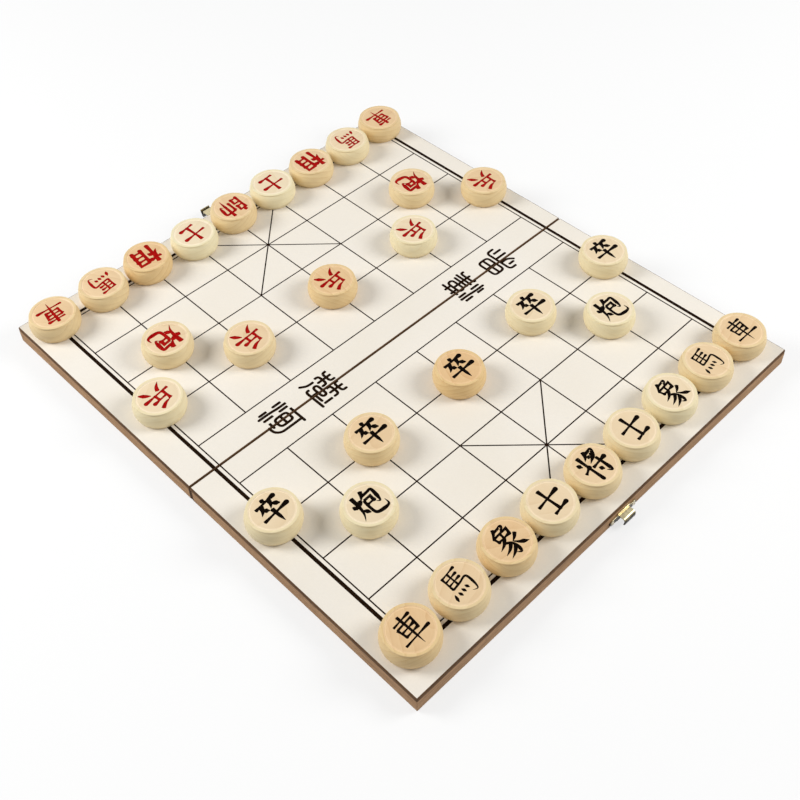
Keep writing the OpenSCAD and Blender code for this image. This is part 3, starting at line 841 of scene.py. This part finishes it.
def turning_tree():
    """Turns the profile that comes in round the upright axis: a grid's columns take the profile's
    points, and its rows go round."""
    tree, entry, sockets = new_tree("turned_on_a_lathe", {
        "Profile Points": "Int", "Round Steps": "Int", "Wood": "Material",
    })
    columns = maths(tree, "SUBTRACT", entry["Profile Points"], 1.0)
    grid = add_node(tree, "GeometryNodeMeshGrid", {
        "Size X": columns,
        "Size Y": 1.0,
        "Vertices X": entry["Profile Points"],
        "Vertices Y": maths(tree, "ADD", entry["Round Steps"], 1.0),
    })
    position = add_node(tree, "GeometryNodeInputPosition").outputs[0]
    place = parts_of(tree, position)
    column = maths(tree, "ADD", place[0], maths(tree, "MULTIPLY", columns, 0.5))
    angle = maths(tree, "MULTIPLY", maths(tree, "ADD", place[1], 0.5), math.tau)
    sample = add_node(tree, "GeometryNodeSampleIndex", {
        "Geometry": entry["Geometry"],
        "Index": maths(tree, "ROUND", column),
        "Value": position,
    }, data_type="FLOAT_VECTOR")
    profile = parts_of(tree, sample.outputs[0])
    turned = add_node(tree, "ShaderNodeCombineXYZ", {
        0: maths(tree, "MULTIPLY", profile[0], maths(tree, "COSINE", angle)),
        1: maths(tree, "MULTIPLY", profile[0], maths(tree, "SINE", angle)),
        2: profile[2],
    })
    moved = add_node(tree, "GeometryNodeSetPosition", {
        "Geometry": grid.outputs["Mesh"], "Position": turned.outputs[0],
    })
    closed = add_node(tree, "GeometryNodeMergeByDistance", {
        "Geometry": moved.outputs[0], "Distance": BLANK_WELD * MM,
    })
    finish_tree(tree, closed.outputs[0], entry["Wood"])
    return tree, sockets


def grown_mesh(carrier, name):
    """The plain mesh that a carrier's modifiers make. The carrier goes."""
    evaluated = carrier.evaluated_get(bpy.context.evaluated_depsgraph_get())
    mesh = bpy.data.meshes.new_from_object(evaluated)
    mesh.name = name
    source = carrier.data
    bpy.data.objects.remove(carrier)
    bpy.data.meshes.remove(source)
    return mesh


def turned_blank(radius, height, material):
    """The turned body that all game pieces share, open where its face goes."""
    profile = piece_profile(radius, height)
    mesh = bpy.data.meshes.new("piece_profile")
    mesh.from_pydata([(r * MM, 0, z * MM) for r, z in profile], [], [])
    carrier = new_piece("piece_profile", mesh, [])
    tree, sockets = turning_tree()
    turning = carrier.modifiers.new("turned", "NODES")
    turning.node_group = tree
    turning[sockets["Profile Points"]] = len(profile)
    turning[sockets["Round Steps"]] = ROUND_STEPS
    turning[sockets["Wood"]] = material
    return grown_mesh(carrier, "turned_blank")


def engrave_face(shape, outlines, radius, top, floor):
    """Closes a piece's face, with its figure cut down to a floor and painted."""
    points, bare, covered = cut_by_strokes(circle(radius, ROUND_STEPS), outlines)
    origin = Vector((0, 0))
    upper = layer(shape, points, bare + covered, origin, top)
    lower = layer(shape, points, covered, origin, floor)
    for triangle in bare:
        shape.faces.new([upper[i] for i in triangle])
    painted = [shape.faces.new([lower[i] for i in triangle]) for triangle in covered]
    for a, b in rims(covered):
        painted.append(shape.faces.new([lower[b], lower[a], upper[a], upper[b]]))
    for face in painted:
        face.material_index = 1
    for vertex in [vertex for vertex in upper.values() if not vertex.link_faces]:
        shape.verts.remove(vertex)


def game_piece(name, blank, inks, chance):
    """One turned piece with its engraved and painted figure, in its CAD node's place."""
    low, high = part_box(name)
    centre = Vector(((low.x + high.x) / 2, (low.y + high.y) / 2, low.z))
    height = (high.z - low.z) / MM
    side, kind = name.split("_")[:2]
    rank = f"{side}_{kind}"
    tilt = math.radians(chance.uniform(-TILT_LIMIT, TILT_LIMIT))
    turn = (math.pi if side == "red" else 0.0) + tilt
    figure = rank if rank in FIGURES else kind
    outlines = brush_strokes(figure, FIGURE_WEIGHTS[rank], FIGURE_SCALE, turn)
    shape = bmesh.new()
    shape.from_mesh(blank)
    top = (height - FACE_DROP) * MM
    engrave_face(shape, outlines, GROOVE_R - GROOVE_HALF, top, top - ENGRAVING_DEPTH * MM)
    bmesh.ops.remove_doubles(shape, verts=shape.verts, dist=PIECE_WELD * MM)
    bmesh.ops.recalc_face_normals(shape, faces=shape.faces)
    for edge in shape.edges:
        edge.smooth = edge.calc_face_angle(0) < SHARP_ANGLE
    bmesh.ops.translate(shape, verts=shape.verts, vec=centre)
    wood = piece_wood(f"wood_of_{name}", WOOD_TONES[name], centre, chance)
    dress(finish_piece(shape, f"turned_{name}", [wood, inks[side]]), f"{name}_body", "piece_wood", name)


# The case
def seam_place():
    """Where the seam between the halves lies along Y."""
    return (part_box("far_panel")[0].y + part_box("near_panel")[1].y) / 2


def board_panel(side, materials):
    """A board panel: a printed face, a brown edge that is rounded at the top, and a raw underside."""
    low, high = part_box(f"{side}_panel")
    shape = bmesh.new()
    bmesh.ops.create_cube(shape, size=1.0)
    bmesh.ops.scale(shape, verts=shape.verts, vec=high - low)
    bmesh.ops.translate(shape, verts=shape.verts, vec=(low + high) / 2)
    middle = (low.z + high.z) / 2
    upper = [edge for edge in shape.edges if max(vertex.co.z for vertex in edge.verts) > middle]
    ease_edges(shape, upper, PANEL_EDGE, PANEL_SEGMENTS)
    for face in shape.faces:
        if abs(face.normal.z) < LEVEL_NORMAL:
            face.material_index = 1
        elif face.normal.z < 0:
            face.material_index = 2
    dress(finish_piece(shape, f"{side}_board", materials), f"{side}_half", "board_panel", f"{side}_panel")


def build_case():
    print_face = cream_print()
    edge = fibreboard("panel_edge", srgb(78, 54, 34), srgb(116, 86, 58), "z")
    raw = fibreboard("raw_underside", srgb(150, 116, 84), srgb(184, 150, 114), "z")
    dark, light = srgb(142, 108, 78), srgb(208, 167, 127)
    across = fibreboard("rail_across", dark, light, "x")
    deep = fibreboard("rail_deep", dark, light, "y", seam_place())
    rails = {"outer_rail": across, "seam_rail": across, "left_rail": deep, "right_rail": deep}
    for side in ("near", "far"):
        board_panel(side, [print_face, edge, raw])
        for rail, wood in rails.items():
            node = f"{side}_{rail}"
            dress_rounded(node, f"{side}_half", "rail_wood", wood, RAIL_EDGE, SHORTEST_RAIL_EDGE)


# The printed lines, made by Geometry Nodes
def ruling_tree():
    """Adds a row of thin ink bars to what comes in: how many, from where, how far apart and how big."""
    tree, entry, sockets = new_tree("ruled_lines", {
        "Count": "Int", "Start": "Vector", "Step": "Vector", "Size": "Vector", "Turn": "Float",
        "Ink": "Material",
    })
    places = add_node(tree, "GeometryNodeMeshLine", {
        "Count": entry["Count"], "Start Location": entry["Start"], "Offset": entry["Step"],
    }, mode="OFFSET")
    bar = add_node(tree, "GeometryNodeMeshCube", {"Size": entry["Size"]})
    turn = add_node(tree, "ShaderNodeCombineXYZ", {2: entry["Turn"]})
    bars = add_node(tree, "GeometryNodeInstanceOnPoints", {
        "Points": places.outputs[0], "Instance": bar.outputs["Mesh"], "Rotation": turn.outputs[0],
    })
    both = add_node(tree, "GeometryNodeJoinGeometry")
    tree.links.new(bars.outputs[0], both.inputs[0])
    tree.links.new(entry["Geometry"], both.inputs[0])
    finish_tree(tree, both.outputs[0], entry["Ink"])
    return tree, sockets


def rule(carrier, tree, sockets, values, line_ink):
    """Adds one row of lines to a carrier. Lengths are in metres."""
    row = carrier.modifiers.new("row", "NODES")
    row.node_group = tree
    for name, value in values.items():
        row[sockets[name]] = value
    row[sockets["Ink"]] = line_ink


def grid_rows(sign, seam, centre, top):
    """The rows of lines on one side of the seam: sign is 1 on the far side and -1 on the near one."""
    half_width = (FILES - 1) / 2 * FILE_PITCH
    border = BORDER_OFFSET + BORDER_WIDTH / 2
    palace_step = (2 * FILE_PITCH, 2 * RANK_PITCH)

    def row(count, start, step, size, level=0, turn=0.0):
        thick = INK_HEIGHT + level * INK_STEP
        return {
            "Count": count,
            "Start": (centre.x + start[0] * MM, centre.y + sign * start[1] * MM, top + thick / 2 * MM),
            "Step": (step[0] * MM, sign * step[1] * MM, 0.0),
            "Size": (size[0] * MM, size[1] * MM, thick * MM),
            "Turn": turn,
        }

    file_run = LAST_RANK - FIRST_RANK
    side_run = LAST_RANK - seam + LINE_WIDTH / 2
    frame_run = LAST_RANK + border - seam
    rows = [
        row(RANKS_PER_SIDE, (0, FIRST_RANK), (0, RANK_PITCH), (2 * half_width + LINE_WIDTH, LINE_WIDTH)),
        row(FILES - 2, (FILE_PITCH - half_width, FIRST_RANK + file_run / 2), (FILE_PITCH, 0),
            (LINE_WIDTH, file_run), 1),
        row(2, (-half_width, seam + side_run / 2), (2 * half_width, 0), (LINE_WIDTH, side_run), 1),
        row(2, (-half_width - BORDER_OFFSET, seam + frame_run / 2), (2 * (half_width + BORDER_OFFSET), 0),
            (BORDER_WIDTH, frame_run), 2),
        row(1, (0, LAST_RANK + BORDER_OFFSET), (0, 0), (2 * (half_width + border), BORDER_WIDTH), 3),
    ]
    for lean in (-1, 1):
        rows.append(row(1, (0, PALACE_MIDDLE), (0, 0), (math.hypot(*palace_step), LINE_WIDTH), 2,
                        lean * math.atan2(palace_step[1], palace_step[0])))
    return rows


def mark_outlines(name, centre_x):
    """A river mark's strokes in the grid's own place: the left pair reads one way, the right the other."""
    up = 1 if centre_x < 0 else -1
    wide, tall = (up * size / box for size, box in zip(MARK_SIZE, MARK_BOX))
    strokes = [[Vector((centre_x + v * tall, -u * wide)) for u, v in corners] for corners in MARKS[name]]
    return even_strokes(strokes, MARK_STROKE, MARK_CORNER)


def build_print():
    """The lines and the river's marks on each half, which end at the seam's rounded edges."""
    low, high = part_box("far_panel")
    centre = Vector(((low.x + high.x) / 2 + GRID_SHIFT_X * MM, seam_place() + GRID_SHIFT_Y * MM))
    top = high.z
    line_ink = ink("line_ink", srgb(20, 8, 1), srgb(42, 26, 14), 0.55)
    tree, sockets = ruling_tree()
    for side, sign in (("near", -1), ("far", 1)):
        seam = SEAM_MARGIN - sign * GRID_SHIFT_Y
        carrier = new_piece(f"{side}_lines", bpy.data.meshes.new("no_lines"), [])
        for values in grid_rows(sign, seam, centre, top):
            rule(carrier, tree, sockets, values, line_ink)
        shape = bmesh.new()
        shape.from_mesh(grown_mesh(carrier, f"{side}_lines"))
        window = [Vector((x * MARKS_REACH, sign * y)) for x, y in
                  [(-1, seam), (1, seam), (1, RIVER_WIDTH), (-1, RIVER_WIDTH)]]
        marks = [loop for name, x in MARK_PLACES.items() for loop in mark_outlines(name, x)]
        add_ink_film(shape, window, marks, centre, top, top + INK_HEIGHT * MM)
        dot = circle(PALACE_DOT, DOT_STEPS, sign * PALACE_MIDDLE)
        area = circle(2 * PALACE_DOT, DOT_STEPS, sign * PALACE_MIDDLE)
        add_ink_film(shape, area, [dot], centre, top, top + (INK_HEIGHT + 3 * INK_STEP) * MM)
        for edge in shape.edges:
            edge.smooth = False
        dress(finish_piece(shape, f"{side}_print", [line_ink]), f"{side}_half", "board_panel")


# Metalwork
def build_metalwork():
    # The clasp's dark colour is near black: it serves for oxidised patches and for painted shade low down
    clasp = metal("clasp_metal", srgb(222, 208, 168), srgb(14, 10, 6), 0.22, CLASP_SHADE_HEIGHTS)
    nails = metal("nail_metal", srgb(246, 240, 224), srgb(150, 136, 104), 0.16)
    hinge = metal("hinge_metal", srgb(200, 176, 124), srgb(112, 88, 52), 0.30)
    for node, body in [("keeper", "near_half"), ("latch_plate", "far_half"), ("latch_lever", "latch")]:
        dress_rounded(node, body, "clasp_metal", clasp, CLASP_EDGE, SHORTEST_CLASP_EDGE)
    plain_nodes = {
        nails: ["keeper_nails", "latch_nails", "near_hinge_nails", "far_hinge_nails"],
        clasp: ["latch_pin"],
        hinge: ["left_near_leaf", "left_far_leaf", "left_pin",
                "right_near_leaf", "right_far_leaf", "right_pin"],
    }
    for material, nodes in plain_nodes.items():
        for node in nodes:
            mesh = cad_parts[node].data
            mesh.materials.clear()
            mesh.materials.append(material)


def build_pieces():
    """The game pieces, each with a wood of its own."""
    low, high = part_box("red_general")
    inks = {
        "red": ink("red_enamel", srgb(152, 4, 6), srgb(192, 28, 22), 0.34),
        "black": ink("black_enamel", srgb(4, 1, 0), srgb(20, 12, 6), 0.40),
    }
    blank_wood = bpy.data.materials.new("blank_wood")
    blank = turned_blank((high.x - low.x) / 2 / MM, (high.z - low.z) / MM, blank_wood)
    blank.materials.clear()
    bpy.data.materials.remove(blank_wood)
    chance = random.Random(PIECE_SEED)
    for name in WOOD_TONES:
        game_piece(name, blank, inks, chance)
    bpy.data.meshes.remove(blank)


# Studio
def aim(name, data, place, look, roll=0.0):
    """Sets up a camera or a lamp in its place, looking along a direction."""
    thing = set_up(name, data)
    thing.location = place
    thing.rotation_mode = "QUATERNION"
    thing.rotation_quaternion = look.to_track_quat("-Z", "Y") @ Quaternion((0, 0, 1), roll)
    return thing


def build_camera():
    data = bpy.data.cameras.new("camera")
    data.sensor_width = SENSOR_WIDTH
    data.lens = LENS_PER_WIDTH * SENSOR_WIDTH
    data.shift_y = -AXIS_ABOVE_MIDDLE
    data.clip_start, data.clip_end = CAMERA_RANGE
    bpy.context.scene.camera = aim("camera", data, CAMERA_PLACE * MM, CAMERA_LOOK, CAMERA_ROLL)


def add_lamp(name, place, size, share):
    """A round soft lamp aimed at the origin, which gives a level face there its share of plain light."""
    data = bpy.data.lights.new(name, "AREA")
    data.shape = "DISK"
    data.size = size * MM
    data.energy = share * math.pi ** 2 * place.length ** 3 / abs(place.z)
    aim(name, data, place, -place)


def build_lamps():
    """A soft lamp on each side of the camera, and one below that shows the undersides."""
    right = CAMERA_LOOK.cross(Vector((0, 0, 1))).normalized()
    for name, share in LAMP_SHARES.items():
        side = right if name == "right_lamp" else -right
        add_lamp(name, (side * LAMP_SIDE + Vector((0, 0, LAMP_HEIGHT))) * MM, LAMP_SIZE, share)
    add_lamp("low_lamp", Vector((0, 0, -LOW_LAMP_DEPTH)) * MM, LOW_LAMP_SIZE, LOW_LAMP_SHARE)


def build_surroundings():
    """White surroundings: full white where the camera, gloss or glass sees them, softer as light."""
    world = bpy.data.worlds.new("surroundings")
    bpy.context.scene.world = world
    world.use_nodes = True
    tree = world.node_tree
    rays = add_node(tree, "ShaderNodeLightPath").outputs
    seen = maths(tree, "MAXIMUM", rays["Is Camera Ray"], rays["Is Glossy Ray"])
    seen = maths(tree, "MAXIMUM", seen, rays["Is Transmission Ray"])
    strength = maths(tree, "MULTIPLY_ADD", seen, 1.0 - SURROUNDING_SHARE, SURROUNDING_SHARE)
    background = tree.nodes["Background"]
    background.inputs["Color"].default_value = (1, 1, 1, 1)
    plug(tree, strength, background.inputs["Strength"])


def build_floor():
    """A white floor that fades out. It is partly see-through from above, so that it keeps soft shadows
    and still shows the half that folds below it, and clear from below."""
    r = FLOOR_REACH * MM
    mesh = bpy.data.meshes.new("floor")
    mesh.from_pydata([(-r, -r, 0), (r, -r, 0), (r, r, 0), (-r, r, 0)], [], [(0, 1, 2, 3)])
    material, tree, shader = new_surface("white_floor", 0.9, specular=0.0)
    rays = add_node(tree, "ShaderNodeLightPath").outputs
    shade = tint(tree, rays["Is Camera Ray"], srgb(235, 235, 235), srgb(255, 255, 255))
    plug(tree, shade, shader.inputs["Base Color"])
    place = pattern_space(tree, (1, 1, 1))
    distance = add_node(tree, "ShaderNodeVectorMath", {0: place}, operation="LENGTH").outputs["Value"]
    cover = spread(tree, rays["Is Camera Ray"], FLOOR_SHARE, FLOOR_SHARE_SEEN, 0.0, 1.0)
    share = spread(tree, distance, cover, 0.0, *FLOOR_FADE)
    below = add_node(tree, "ShaderNodeNewGeometry").outputs["Backfacing"]
    share = maths(tree, "MULTIPLY", share, maths(tree, "SUBTRACT", 1.0, below))
    clear = add_node(tree, "ShaderNodeBsdfTransparent").outputs[0]
    both = add_node(tree, "ShaderNodeMixShader", {0: share, 1: clear, 2: shader.outputs[0]})
    tree.links.new(both.outputs[0], tree.nodes["Material Output"].inputs["Surface"])
    new_piece("floor", mesh, [material])


build_camera()
build_lamps()
build_surroundings()
build_floor()
build_case()
build_print()
build_metalwork()
build_pieces()
bpy.context.scene.view_settings.view_transform = "Standard"
